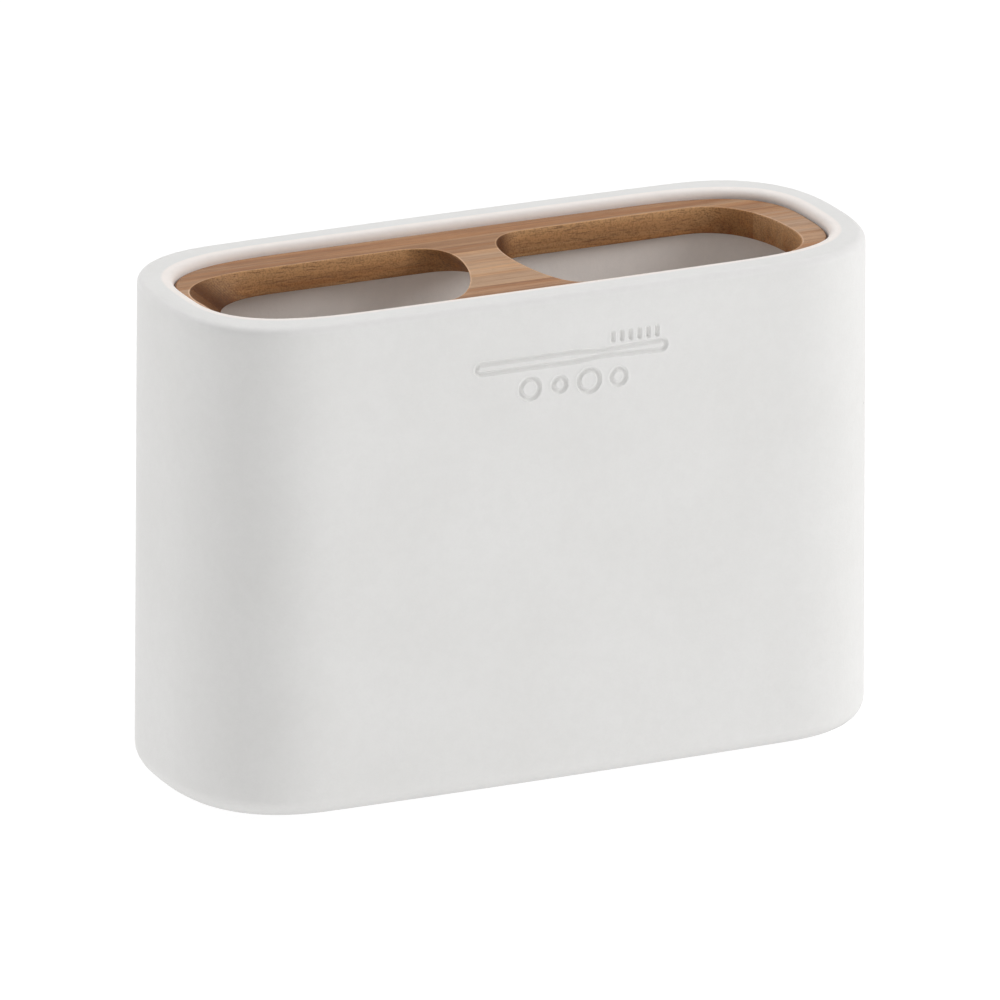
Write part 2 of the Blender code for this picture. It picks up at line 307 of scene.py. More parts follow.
def oblong(left, right, half_width, noses, power, crown=0.0, back=None, front=None):
    """A long outline with superelliptic ends and crowned sides, counter-clockwise from the +X tip.

    back and front say where along each side its points lie, as shares of the way from right to left.
    """
    back = back or even_fractions(SIDE_STEPS)
    front = front or back
    start = right - noses[1]
    stop = left + noses[0]
    right_quarter = nose_quarter(half_width, noses[1], power, NOSE_STEPS)
    left_quarter = nose_quarter(half_width, noses[0], power, NOSE_STEPS)
    right_arc = [(start + along, across) for along, across in right_quarter]
    left_arc = [(stop - along, across) for along, across in reversed(left_quarter)]
    back_side = [(start + (stop - start) * part, half_width) for part in back]
    front_side = [(start + (stop - start) * part, -half_width) for part in reversed(front)]
    points = right_arc + back_side + left_arc
    points += [(x, -y) for x, y in reversed(left_arc[:-1])]
    points += front_side
    points += [(x, -y) for x, y in reversed(right_arc[1:])]
    middle = 0.5 * (left + right)
    reach = 0.5 * (right - left)
    return [(x, y * (1.0 + crown / half_width * (1.0 - ((x - middle) / reach) ** 2))) for x, y in points]


def well_outline(inset, back=None, front=None):
    nose = WELL_NOSE - inset
    reach = WELL_HALF_LENGTH - inset
    return oblong(-reach, reach, WELL_HALF_WIDTH - inset, (nose, nose), WELL_POWER, WELL_CROWN, back, front)


def quarter_round(radius, steps=ROUND_STEPS):
    """(rise, run) pairs that turn a corner of this radius, from its start to its end."""
    angles = [0.5 * math.pi * step / steps for step in range(steps + 1)]
    return [(radius * math.sin(angle), radius * (1.0 - math.cos(angle))) for angle in angles]


# Meshes

def mesh_from_rings(name, rings):
    """A lofted mesh through rings of equal length, closed at both ends; each ring is a list of points."""
    count = len(rings[0])
    last = (len(rings) - 1) * count
    vertices = [point for ring in rings for point in ring]
    faces = []
    for low in range(0, last, count):
        high = low + count
        for index in range(count):
            after = (index + 1) % count
            faces.append((low + index, low + after, high + after, high + index))
    faces.append(tuple(reversed(range(count))))
    faces.append(tuple(range(last, last + count)))
    mesh = bpy.data.meshes.new(name)
    mesh.from_pydata(vertices, [], faces)
    mesh.validate()
    return mesh


def mark_rings(mesh, name, values):
    """Stores one number for each ring of a lofted mesh, which the material reads by name."""
    count = len(mesh.vertices) // len(values)
    mesh.attributes.new(name, "FLOAT", "POINT").data.foreach_set("value", np.repeat(values, count))


def add_piece(name, mesh, material):
    """Puts a mesh in the scene, smooth but for edges sharper than SHARP_ANGLE."""
    mesh.shade_smooth()
    mesh.set_sharp_from_angle(angle=math.radians(SHARP_ANGLE))
    mesh.materials.append(material)
    piece = bpy.data.objects.new(name, mesh)
    bpy.context.scene.collection.objects.link(piece)
    return piece


def cut_away(piece, cutter_mesh):
    """Cuts a mesh out of a piece, and keeps the result as the piece's own mesh."""
    cutter = bpy.data.objects.new("cutter", cutter_mesh)
    bpy.context.scene.collection.objects.link(cutter)
    modifier = piece.modifiers.new("cut", "BOOLEAN")
    modifier.object = cutter
    modifier.operation = "DIFFERENCE"
    modifier.solver = "EXACT"
    graph = bpy.context.evaluated_depsgraph_get()
    result = bpy.data.meshes.new_from_object(piece.evaluated_get(graph))
    piece.modifiers.clear()
    whole = piece.data
    piece.data = result
    bpy.data.meshes.remove(whole)
    bpy.data.objects.remove(cutter)


def disc_mesh(name, radius, centre, bottom, top, edge_round=0.0):
    """A flat round disc, with both edges rounded if edge_round is given."""
    levels = [(radius, bottom), (radius, top)]
    if edge_round:
        rounds = quarter_round(edge_round, EDGE_STEPS)
        levels = [(radius - run, bottom + edge_round - rise) for rise, run in reversed(rounds)]
        levels += [(radius - run, top - edge_round + rise) for rise, run in rounds]
    turns = [2.0 * math.pi * step / DISC_STEPS for step in range(DISC_STEPS)]
    rings = []
    for reach, z in levels:
        ring = [(centre.x + reach * math.cos(turn), centre.y + reach * math.sin(turn), z) for turn in turns]
        rings.append(ring)
    return mesh_from_rings(name, rings)


# Engraved motif

def arc(centre, radius, start, stop, steps):
    """Points on an arc between two angles in degrees."""
    points = []
    for step in range(steps + 1):
        angle = math.radians(start + (stop - start) * step / steps)
        points.append((centre[0] + radius * math.cos(angle), centre[1] + radius * math.sin(angle)))
    return points


def brush_outline():
    """The side view of a toothbrush as one closed line: a handle that narrows to a neck and a long head."""
    spine_z = BRUSH_BOTTOM_Z + HALF_HANDLE
    tail = (BRUSH_LEFT_X + HALF_HANDLE, spine_z)
    head = (BRUSH_RIGHT_X - HALF_HANDLE, spine_z)
    points = arc(tail, HALF_HANDLE, 90.0, 270.0, BRUSH_END_STEPS)
    points += [(NECK_START_X, spine_z - HALF_HANDLE), (NECK_END_X, spine_z - HALF_NECK)]
    points += arc(head, HALF_HANDLE, -90.0, 90.0, BRUSH_END_STEPS)
    points += [(NECK_END_X, spine_z + HALF_NECK), (NECK_START_X, spine_z + HALF_HANDLE)]
    return points + points[:1]


def motif_lines():
    """The motif's strokes as lines of (x, z) points: a toothbrush above a row of bubbles."""
    lines = [brush_outline()]
    for index in range(TUFT_COUNT):
        x = TUFT_FIRST_X + TUFT_SPACING * index
        lines.append([(x, TUFT_BOTTOM_Z), (x, BRUSH_TOP_Z)])
    for index, radius in enumerate(BUBBLE_RADII):
        centre = (BUBBLE_FIRST_X + BUBBLE_SPACING * index, BUBBLE_ROW_Z)
        lines.append(arc(centre, radius, 0.0, 360.0, BUBBLE_STEPS))
    return lines


def motif_box():
    """(left, right, low, high) of the stretch of the front wall that holds the motif."""
    left = BRUSH_LEFT_X - MOTIF_MARGIN
    right = BRUSH_RIGHT_X + MOTIF_MARGIN
    low = BUBBLE_ROW_Z - max(BUBBLE_RADII) - MOTIF_MARGIN
    high = BRUSH_TOP_Z + MOTIF_MARGIN
    return left, right, low, high


def distance_to_motif(x, z):
    nearest = np.full(x.shape, np.inf)
    for line in motif_lines():
        for (x0, z0), (x1, z1) in zip(line, line[1:]):
            run = x1 - x0
            rise = z1 - z0
            length_squared = run * run + rise * rise
            part = np.clip(((x - x0) * run + (z - z0) * rise) / length_squared, 0.0, 1.0)
            distance = np.hypot(x - x0 - part * run, z - z0 - part * rise)
            nearest = np.minimum(nearest, distance)
    return nearest


def motif_depth(x, z):
    """How deep the front wall is sunk at each place, from arrays of X and Z; the lip is below zero."""
    distance = distance_to_motif(x, z)
    half_stroke = 0.5 * MOTIF_STROKE
    part = np.clip((distance - half_stroke + MOTIF_SOFTNESS) / (2.0 * MOTIF_SOFTNESS), 0.0, 1.0)
    sunk = MOTIF_DEPTH * (1.0 - part * part * (3.0 - 2.0 * part))
    across = np.clip((distance - half_stroke) / LIP_WIDTH, 0.0, 1.0)
    return sunk - LIP_HEIGHT * np.sin(math.pi * across) ** 2


# Cup

def fine_positions(low, high, fine_low, fine_high):
    """Places from low to high, close together inside the fine stretch and wider apart outside it."""
    before = max(1, round((fine_low - low) / COARSE_STEP))
    inside = max(1, round((fine_high - fine_low) / FINE_STEP))
    after = max(1, round((high - fine_high) / COARSE_STEP))
    return np.concatenate([
        np.linspace(low, fine_low, before, endpoint=False),
        np.linspace(fine_low, fine_high, inside, endpoint=False),
        np.linspace(fine_high, high, after + 1),
    ])


class Cup:
    """The cup's sizes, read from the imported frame, and its outlines.

    front says where points lie along the front, close together at the motif.
    """

    def __init__(self):
        low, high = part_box("cup_body")
        board_low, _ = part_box("insert_back_stave")
        self.height = high.z
        self.underside = low.z
        self.foot = low.z + BASE_ROUND
        self.half_length = high.x + self.taper(self.foot)
        self.half_width = high.y - SIDE_CROWN + self.taper(self.foot)
        self.ledge = board_low.z - LEDGE_GAP
        self.floor = low.z + FLOOR_THICKNESS
        side = self.half_length - NOSE_LENGTH
        left, right, _, _ = motif_box()
        places = fine_positions(-side, side, left, right)[1:-1]
        self.front = [(side - x) / (2.0 * side) for x in reversed(places)]

    def taper(self, z):
        """How far the outside lies inside its nominal outline at this height."""
        return SIDE_TAPER * (z / self.height - 0.5)

    def ring(self, inset, z):
        """The outside's outline at one height, as 3-D points."""
        inset = inset + self.taper(z)
        nose = NOSE_LENGTH - inset
        reach = self.half_length - inset
        half_width = self.half_width - inset
        outline = oblong(-reach, reach, half_width, (nose, nose), NOSE_POWER, SIDE_CROWN, None, self.front)
        return [(x, y, z) for x, y in outline]

    def well_ring(self, inset, z):
        """The well's outline at one height, as 3-D points."""
        return [(x, y, z) for x, y in well_outline(inset, None, self.front)]


class Section:
    """The rings of a lofted wall, each marked with how far it takes the painted light or shade of a marked
    part.
    """

    def __init__(self):
        self.rings = []
        self.marks = {"cavity": [], "inner_edge": [], "outer_edge": [], "foot": []}

    def add(self, ring, **marked):
        self.rings.append(ring)
        for name, values in self.marks.items():
            values.append(marked.get(name, 0.0))


def add_outside(section, cup):
    """From the underside, round the foot and up to the edge of the rim."""
    # The underside and the base round are marked for painted shade, strongest at the bottom.
    section.add(cup.ring(BASE_ROUND + CAP_MARGIN, cup.underside), foot=1.0)
    for rise, run in reversed(quarter_round(BASE_ROUND)):
        section.add(cup.ring(run, cup.foot - rise), foot=(rise / BASE_ROUND) ** 2)
    shoulder = cup.height - RIM_OUTER_ROUND
    _, _, motif_low, motif_high = motif_box()
    for z in fine_positions(cup.foot, shoulder, motif_low, motif_high)[1:-1]:
        section.add(cup.ring(0.0, z))
    # The rim's outer round is marked for painted light, strongest halfway round.
    for step, (rise, run) in enumerate(quarter_round(RIM_OUTER_ROUND)):
        section.add(cup.ring(run, shoulder + rise), outer_edge=math.sin(math.pi * step / ROUND_STEPS))
    section.add(cup.ring(RIM_OUTER_ROUND + CAP_MARGIN, cup.height))


def add_well(section, cup):
    """From the rim's inner edge down to the ledge that carries the insert."""
    section.add(cup.well_ring(-RIM_INNER_ROUND - EDGE_FADE, cup.height))
    # The inner round and the well wall are marked for painted light: lighter and warmer, with a highlight.
    section.add(cup.well_ring(-RIM_INNER_ROUND - 0.5 * EDGE_FADE, cup.height), inner_edge=1.0)
    for rise, run in reversed(quarter_round(RIM_INNER_ROUND)):
        section.add(cup.well_ring(-run, cup.height - RIM_INNER_ROUND + rise), inner_edge=1.0)
    drop = cup.height - RIM_INNER_ROUND - cup.ledge
    for part in WELL_RINGS:
        section.add(cup.well_ring(0.0, cup.ledge + drop * part), inner_edge=1.0)
    for part in LEDGE_RINGS:
        section.add(cup.well_ring(LEDGE_WIDTH * part, cup.ledge))


def add_cavity(section, cup):
    """From the ledge down the tapered wall and round to the floor."""
    depth = cup.ledge - cup.floor - FLOOR_ROUND
    # The cavity's rings are marked for its painted light: a lighter, warmer tone.
    for part in CAVITY_RINGS:
        inset = LEDGE_WIDTH + CAVITY_TAPER * part
        section.add(cup.well_ring(inset, cup.ledge - depth * part), cavity=1.0)
    foot_inset = LEDGE_WIDTH + CAVITY_TAPER
    for rise, run in quarter_round(FLOOR_ROUND):
        section.add(cup.well_ring(foot_inset + run, cup.floor + FLOOR_ROUND - rise), cavity=1.0)
    section.add(cup.well_ring(foot_inset + FLOOR_ROUND + CAP_MARGIN, cup.floor), cavity=1.0)


def engrave(mesh, cup):
    """Sinks the motif into the front wall."""
    count = len(mesh.vertices)
    places = np.empty(count * 3)
    mesh.vertices.foreach_get("co", places)
    places = places.reshape(count, 3)
    x, y, z = places.T
    left, right, low, high = motif_box()
    near = (x > left) & (x < right) & (z > low) & (z < high) & (y < -cup.half_width + FRONT_WALL_BAND)
    places[near, 1] += motif_depth(x[near], z[near])
    mesh.vertices.foreach_set("co", places.ravel())
    mesh.update()


def pad_nodes():
    return [name for name in sorted(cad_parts) if name.startswith("pad_")]


def cup_mesh():
    cup = Cup()
    section = Section()
    add_outside(section, cup)
    add_well(section, cup)
    add_cavity(section, cup)
    mesh = mesh_from_rings("cast_cup", section.rings)
    for name, values in section.marks.items():
        mark_rings(mesh, name, values)
    engrave(mesh, cup)
    return mesh


def cut_pad_seats(piece):
    """Sinks a round seat into the underside above each pad."""
    for node in pad_nodes():
        low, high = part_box(node)
        radius = 0.5 * (high.x - low.x) + SEAT_GAP
        seat = disc_mesh("seat", radius, 0.5 * (low + high), low.z - SEAT_CUT_DEPTH, high.z + SEAT_GAP)
        cut_away(piece, seat)


def build_cup(material):
    piece = add_piece("cast_cup", cup_mesh(), material)
    cut_pad_seats(piece)
    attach(piece, "cup")
    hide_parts("cup_body")


# Insert

def opening_half(opening, side, grow):
    """One half of an opening's outline, the back or the front, whose rounded ends may lean along X."""
    left = opening["left"] - grow
    right = opening["right"] + grow
    left_nose, right_nose = (nose + grow for nose in opening[f"{side}_noses"])
    left_lean, right_lean = opening[f"{side}_leans"]
    middle_y = 0.5 * (opening["back"] + OPENING_FRONT_Y)
    half_width = 0.5 * (opening["back"] - OPENING_FRONT_Y) + grow
    outline = oblong(left, right, half_width, (left_nose, right_nose), OPENING_POWER)
    back_count = len(outline) // 2 + 1
    half = outline[:back_count] if side == "back" else outline[back_count:]
    points = []
    for x, y in half:
        left_share = max(0.0, left + left_nose - x) / left_nose
        right_share = max(0.0, x - right + right_nose) / right_nose
        points.append((x + y * (left_lean * left_share + right_lean * right_share), y + middle_y))
    return points


def opening_outline(opening, grow):
    """The outline of an opening; grow makes it larger all round."""
    return opening_half(opening, "back", grow) + opening_half(opening, "front", grow)


def opening_wall(top_shape, foot_shape):
    """An opening's outline at any share of the board's height, from its foot to its top."""
    def outline(inset, share):
        top = opening_outline(top_shape, inset)
        foot = opening_outline(foot_shape, inset)
        return [(x0 + (x1 - x0) * share, y0 + (y1 - y0) * share) for (x0, y0), (x1, y1) in zip(foot, top)]
    return outline


def board_edge(inset, share):
    return well_outline(INSERT_CLEARANCE + inset)


def edge_levels(bottom, top):
    """(inset, z, sanded, cut) up a wall with two rounded edges.

    The material reads the last two: the first, a painted highlight, rises from the wall's foot to its upper
    edge, and cut is 1 on the wall itself.
    """
    rounds = quarter_round(EDGE_ROUND, EDGE_STEPS)
    levels = [(EDGE_ROUND + EDGE_MARGIN, bottom, 0.0, 0.0)]
    for rise, run in reversed(rounds):
        levels.append((run, bottom + EDGE_ROUND - rise, 0.0, 1.0))
    for rise, run in rounds[1:-1]:
        levels.append((run, top - EDGE_ROUND + rise, 1.0, 1.0))
    levels.append((EDGE_ROUND, top, 1.0, 0.0))
    levels.append((EDGE_ROUND + HIGHLIGHT_MARGIN, top, 0.0, 0.0))
    return levels


def add_wall(bm, outline, bottom, top, is_hole):
    """Adds one wall of the board, and returns the edges of its lowest and its highest ring."""
    highlight_layer = bm.verts.layers.float["edge_highlight"]
    cut_layer = bm.verts.layers.float["cut_wall"]
    loops = []
    for inset, z, highlight, cut in edge_levels(bottom, top):
        share = (z - bottom) / (top - bottom)
        loop = [bm.verts.new((x, y, z)) for x, y in outline(inset, share)]
        for vertex in loop:
            # The painted edge highlight goes only on the openings.
            vertex[highlight_layer] = highlight if is_hole else 0.0
            vertex[cut_layer] = cut
        loops.append(loop)
    for low, high in zip(loops, loops[1:]):
        for index in range(len(low)):
            after = (index + 1) % len(low)
            quad = (low[index], low[after], high[after], high[index])
            bm.faces.new(tuple(reversed(quad)) if is_hole else quad)
    return loop_edges(bm, loops[0]), loop_edges(bm, loops[-1])


def loop_edges(bm, loop):
    return [bm.edges.get((first, second)) for first, second in zip(loop, loop[1:] + loop[:1])]


def mesh_from_bmesh(name, bm):
    bmesh.ops.recalc_face_normals(bm, faces=bm.faces)
    mesh = bpy.data.meshes.new(name)
    bm.to_mesh(mesh)
    bm.free()
    return mesh


def board_mesh(bottom, top):
    """The whole board: an outer wall and two opening walls, closed by flat faces above and below."""
    walls = [
        (board_edge, False),
        (opening_wall(LEFT_OPENING, LEFT_OPENING_FOOT), True),
        (opening_wall(RIGHT_OPENING, RIGHT_OPENING), True),
    ]
    bm = bmesh.new()
    bm.verts.layers.float.new("edge_highlight")
    bm.verts.layers.float.new("cut_wall")
    underside = []
    upside = []
    for outline, is_hole in walls:
        lowest, highest = add_wall(bm, outline, bottom, top, is_hole)
        underside += lowest
        upside += highest
    for edges, up in ((underside, -1.0), (upside, 1.0)):
        bmesh.ops.triangle_fill(bm, use_beauty=True, use_dissolve=False, edges=edges, normal=(0.0, 0.0, up))
    return mesh_from_bmesh("board", bm)


def stave_limits():
    """For each stave, the planes that part it from the board: (axis, place, keep the higher side)."""
    gap = 0.5 * GLUE_GAP
    middle = [(1, BACK_JOINT_Y - gap, False), (1, FRONT_JOINT_Y + gap, True)]
    return {
        "insert_back_stave": [(1, BACK_JOINT_Y + gap, True)],
        "insert_front_stave": [(1, FRONT_JOINT_Y - gap, False)],
        "insert_left_end": middle + [(0, LEFT_SPLIT_X, False)],
        "insert_right_end": middle + [(0, RIGHT_SPLIT_X, True)],
        "insert_bridge": middle + [(0, LEFT_SPLIT_X, True), (0, RIGHT_SPLIT_X, False)],
    }


def sawn_mesh(board, limits):
    """The part of the board inside some planes, with each sawn face filled."""
    bm = bmesh.new()
    bm.from_mesh(board)
    for axis, place, keep_higher in limits:
        normal = Vector((0.0, 0.0, 0.0))
        normal[axis] = 1.0
        bmesh.ops.bisect_plane(
            bm,
            geom=bm.verts[:] + bm.edges[:] + bm.faces[:],
            dist=SAW_TOLERANCE,
            plane_co=normal * place,
            plane_no=normal,
            clear_inner=keep_higher,
            clear_outer=not keep_higher,
        )
        open_edges = [edge for edge in bm.edges if edge.is_boundary]
        bmesh.ops.holes_fill(bm, edges=open_edges, sides=0)
    return mesh_from_bmesh("stave", bm)


def build_insert():
    low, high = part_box("insert_back_stave")
    board = board_mesh(low.z, high.z)
    for number, (node, limits) in enumerate(stave_limits().items(), 1):
        dark, light = STAVE_TONES[node]
        material = bamboo_material(node.replace("insert", "bamboo"), dark, light, number)
        piece = add_piece(node.replace("insert_", "stave_"), sawn_mesh(board, limits), material)
        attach(piece, "insert")
        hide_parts(node)
    bpy.data.meshes.remove(board)


def build_pads(material):
    for node in pad_nodes():
        low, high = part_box(node)
        mesh = disc_mesh(node, 0.5 * (high.x - low.x), 0.5 * (low + high), low.z, high.z, PAD_EDGE_ROUND)
        piece = add_piece(f"foam_{node}", mesh, material)
        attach(piece, "cup")
        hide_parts(node)


# Materials

class Nodes:
    """A short way to write a node tree: every call adds a node and links its inputs."""

    def __init__(self, name):
        self.material = bpy.data.materials.new(name)
        self.material.use_nodes = True
        self.tree = self.material.node_tree
        self.shader = self.tree.nodes["Principled BSDF"]
        self.place = self.add("ShaderNodeTexCoord").outputs["Object"]

    def add(self, kind, **settings):
        node = self.tree.nodes.new(kind)
        for key, value in settings.items():
            setattr(node, key, value)
        return node

    def feed(self, socket, value):
        """Links a socket to another, or sets it to a number, a vector or an RGB colour."""
        if isinstance(value, bpy.types.NodeSocket):
            self.tree.links.new(value, socket)
        elif socket.type == "RGBA":
            socket.default_value = (*value, 1.0)
        else:
            socket.default_value = value

    def shade(self, name, value):
        self.feed(self.shader.inputs[name], value)

    def noise(self, scale, detail, rough, vector=None):
        node = self.add("ShaderNodeTexNoise")
        self.feed(node.inputs["Vector"], vector or self.place)
        node.inputs["Scale"].default_value = scale
        node.inputs["Detail"].default_value = detail
        node.inputs["Roughness"].default_value = rough
        return node.outputs["Fac"]

    def streaks(self, along, across, detail, rough):
        """A noise drawn out along X, with its own number of features per metre along X and across it."""
        node = self.add("ShaderNodeMapping")
        self.feed(node.inputs["Vector"], self.place)
        node.inputs["Scale"].default_value = (along, across, across)
        return self.noise(1.0, detail, rough, node.outputs["Vector"])

    def cells(self, scale, output="Distance"):
        node = self.add("ShaderNodeTexVoronoi")
        self.feed(node.inputs["Vector"], self.place)
        node.inputs["Scale"].default_value = scale
        return node.outputs[output]

    def band(self, value, low, high, out_low=0.0, out_high=1.0):
        """A smooth step from out_low to out_high as value goes from low to high."""
        node = self.add("ShaderNodeMapRange", interpolation_type="SMOOTHSTEP")
        self.feed(node.inputs["Value"], value)
        node.inputs["From Min"].default_value = low
        node.inputs["From Max"].default_value = high
        node.inputs["To Min"].default_value = out_low
        node.inputs["To Max"].default_value = out_high
        return node.outputs["Result"]

    def math(self, operation, first, second=0.0):
        node = self.add("ShaderNodeMath", operation=operation)
        self.feed(node.inputs[0], first)
        self.feed(node.inputs[1], second)
        return node.outputs["Value"]

    def times(self, first, second):
        return self.math("MULTIPLY", first, second)

    def vector(self, operation, first, second=(0.0, 0.0, 0.0)):
        node = self.add("ShaderNodeVectorMath", operation=operation)
        self.feed(node.inputs[0], first)
        self.feed(node.inputs[1], second)
        return node.outputs["Vector"]

    def ramp(self, value, places, colours):
        """A colour between two, as value goes from the first place to the second."""
        node = self.add("ShaderNodeValToRGB")
        self.feed(node.inputs["Fac"], value)
        for element, place, colour in zip(node.color_ramp.elements, places, colours):
            element.position = place
            element.color = (*colour, 1.0)
        return node.outputs["Color"]

    def mix(self, factor, first, second, blend="MIX"):
        node = self.add("ShaderNodeMix", data_type="RGBA", blend_type=blend)
        first_socket, second_socket = (socket for socket in node.inputs if socket.type == "RGBA")
        self.feed(node.inputs["Factor"], factor)
        self.feed(first_socket, first)
        self.feed(second_socket, second)
        return next(socket for socket in node.outputs if socket.type == "RGBA")

    def tinted(self, factor, colour, tint):
        """A colour multiplied by a tint, as far as factor says."""
        return self.mix(factor, colour, self.mix(1.0, colour, tint, "MULTIPLY"))

    def bump(self, height, distance, normal=None):
        node = self.add("ShaderNodeBump")
        self.feed(node.inputs["Height"], height)
        node.inputs["Distance"].default_value = distance
        if normal:
            self.feed(node.inputs["Normal"], normal)
        return node.outputs["Normal"]

    def attribute(self, name):
        return self.add("ShaderNodeAttribute", attribute_name=name).outputs["Fac"]

    def axis(self, output, name):
        node = self.add("ShaderNodeSeparateXYZ")
        self.feed(node.inputs[0], output)
        return node.outputs[name]


def resin_tones(nodes):
    """Faint clouding, then painted light on the cavity and the rim's edges, and painted shade at the
    cavity's left end and on the foot.
    """
    colour = nodes.ramp(nodes.noise(*CLOUDS), CLOUD_BAND, CLOUD_TONES)
    inside = nodes.attribute("cavity")
    # Painted light: the cavity is lighter and warmer than the rest of the resin.
    colour = nodes.mix(inside, colour, CAVITY_LIGHT_TONE)
    # Painted shade: the cavity grows darker towards its left end, over a stretch of X.
    left_end = nodes.band(nodes.axis(nodes.place, "X"), *CAVITY_END_SHADE_X, CAVITY_END_SHADE_SHARE, 0.0)
    colour = nodes.mix(nodes.times(inside, left_end), colour, CAVITY_END_SHADE_TONE)
    # Painted light on the inner wall and on the rim's outer round, painted shade on the foot.
    edges = (("inner_edge", INNER_LIGHT_TONE), ("outer_edge", OUTER_LIGHT_TONE), ("foot", FOOT_SHADE_TONE))
    for name, tone in edges:
        colour = nodes.mix(nodes.attribute(name), colour, tone)
    return colour


def air_pits(nodes):
    """1 in the middle of a few small pits, and 0 elsewhere."""
    chance = nodes.axis(nodes.cells(PIT_SCALE, "Color"), "X")
    is_pit = nodes.math("GREATER_THAN", chance, PIT_RARITY)
    return nodes.times(nodes.band(nodes.cells(PIT_SCALE), *PIT_RADII, 1.0, 0.0), is_pit)


def resin_relief(nodes, grains, pits):
    """The bumped normal of a sandy, slightly wavy casting with air pits."""
    sand = nodes.math("ADD", nodes.times(grains, SAND_GRAIN_SHARE), nodes.noise(*SAND))
    normal = nodes.bump(sand, SAND_HEIGHT)
    normal = nodes.bump(nodes.noise(*WAVES), WAVE_HEIGHT, normal)
    return nodes.bump(nodes.times(pits, -1.0), PIT_DEPTH, normal)


def resin_material():
    """Cast mineral resin: off-white, matt and sandy, with faint clouding and a few small air pits, darkened
    in their middle with painted shade. Its marked parts carry painted light and shade.
    """
    nodes = Nodes("cast_resin")
    grains = nodes.noise(*GRAINS)
    pits = air_pits(nodes)
    colour = resin_tones(nodes)
    colour = nodes.mix(nodes.band(grains, *GRAIN_BAND, 0.0, GRAIN_SHARE), colour, GRAIN_TONE)
    mottles = nodes.band(nodes.noise(*MOTTLES), *MOTTLE_BAND, 0.0, MOTTLE_SHARE)
    colour = nodes.mix(mottles, colour, MOTTLE_TONE)
    # Painted shade in the middle of each pit.
    colour = nodes.mix(nodes.times(pits, PIT_SHADE_SHARE), colour, PIT_SHADE_TONE)
    nodes.shade("Base Color", colour)
    nodes.shade("Roughness", nodes.band(grains, *NOISE_BAND, *RESIN_ROUGHNESS))
    nodes.shade("Specular IOR Level", SPECULAR)
    nodes.shade("Normal", resin_relief(nodes, grains, pits))
    return nodes.material


def bamboo_grain(nodes, fibres, dark, light):
    """The wood's colour along its fibres: streaks and strips from dark to light, some of them warmer."""
    streaks = nodes.times(nodes.streaks(*STREAKS), STREAK_SHARE)
    strips = nodes.times(nodes.streaks(*STRIPS), STRIP_SHARE)
    tone = nodes.math("ADD", nodes.times(fibres, FIBRE_SHARE), streaks)
    tone = nodes.math("ADD", tone, strips)
    colour = nodes.ramp(tone, TONE_BAND, (dark, light))
    warm = nodes.band(nodes.streaks(*WARM_STREAKS), *WARM_BAND, 0.0, WARM_SHARE)
    return nodes.tinted(warm, colour, WARM_TINT)


def bamboo_walls(nodes, colour, wall):
    """The wood's colour on the cut walls: darker, with a warmer tint that is partly painted light, end
    grain where they face along X, strong painted shade where they face right, and speckled.
    """
    # A warmer tint on the cut walls: partly the cut wood's own tone, partly painted light where they get
    # little light.
    colour = nodes.tinted(wall, colour, WALL_TONE_AND_LIGHT)
    normal = nodes.add("ShaderNodeNewGeometry").outputs["True Normal"]
    level = nodes.vector("NORMALIZE", nodes.vector("MULTIPLY", normal, (1.0, 1.0, 0.0)))
    facing = nodes.axis(level, "X")
    # End grain darkens walls that face along X; on walls that face right the tint is mostly painted shade.
    for band, tint in ((END_RIGHT_BAND, END_GRAIN_SHADE_RIGHT), (END_LEFT_BAND, END_LEFT_TINT)):
        colour = nodes.tinted(nodes.times(nodes.band(facing, *band), wall), colour, tint)
    speckles = nodes.band(nodes.noise(*SPECKLES), *SPECKLE_BAND)
    return nodes.tinted(nodes.times(speckles, nodes.times(wall, SPECKLE_SHARE)), colour, SPECKLE_TINT)


def bamboo_material(name, dark, light, number):
    """Carbonised bamboo: fibres along X, short dark vessel marks, speckled end grain and darker cut walls,
    whose warmer tint is partly painted light; walls that face right carry strong painted shade, and the
    openings' upper edges a painted highlight.

    Each number gives grain of its own.
    """
    nodes = Nodes(name)
    nodes.place = nodes.vector("ADD", nodes.place, tuple(number * part for part in STAVE_SHIFT))
    wall = nodes.attribute("cut_wall")
    fibres = nodes.streaks(*FIBRES)
    vessels = nodes.band(nodes.streaks(*VESSELS), *VESSEL_BAND)
    vessel_share = nodes.band(wall, 0.0, 1.0, VESSEL_TOP_SHARE, VESSEL_WALL_SHARE)
    # A painted highlight along the openings' upper edges.
    highlight = nodes.times(nodes.attribute("edge_highlight"), HIGHLIGHT_SHARE)
    colour = bamboo_grain(nodes, fibres, dark, light)
    colour = nodes.mix(highlight, colour, tuple(HIGHLIGHT_GAIN * part for part in light))
    colour = bamboo_walls(nodes, colour, wall)
    vessel_tone = tuple(VESSEL_GAIN * part for part in dark)
    colour = nodes.mix(nodes.times(vessels, vessel_share), colour, vessel_tone)
    relief = nodes.math("SUBTRACT", fibres, nodes.times(vessels, VESSEL_DEPTH_SHARE))
    nodes.shade("Base Color", colour)
    nodes.shade("Roughness", nodes.band(fibres, *NOISE_BAND, *BAMBOO_ROUGHNESS))
    nodes.shade("Specular IOR Level", SPECULAR)
    nodes.shade("Normal", nodes.bump(relief, RELIEF_HEIGHT))
    return nodes.material


def foam_material():
    """Grey EVA foam with closed cells."""
    nodes = Nodes("eva_foam")
    cells = nodes.cells(FOAM_CELL_SCALE)
    nodes.shade("Base Color", nodes.ramp(cells, FOAM_CELL_BAND, FOAM_TONES))
    nodes.shade("Roughness", nodes.band(nodes.noise(*FOAM_WEAR), *NOISE_BAND, *FOAM_ROUGHNESS))
    nodes.shade("Normal", nodes.bump(cells, FOAM_CELL_HEIGHT))
    return nodes.material


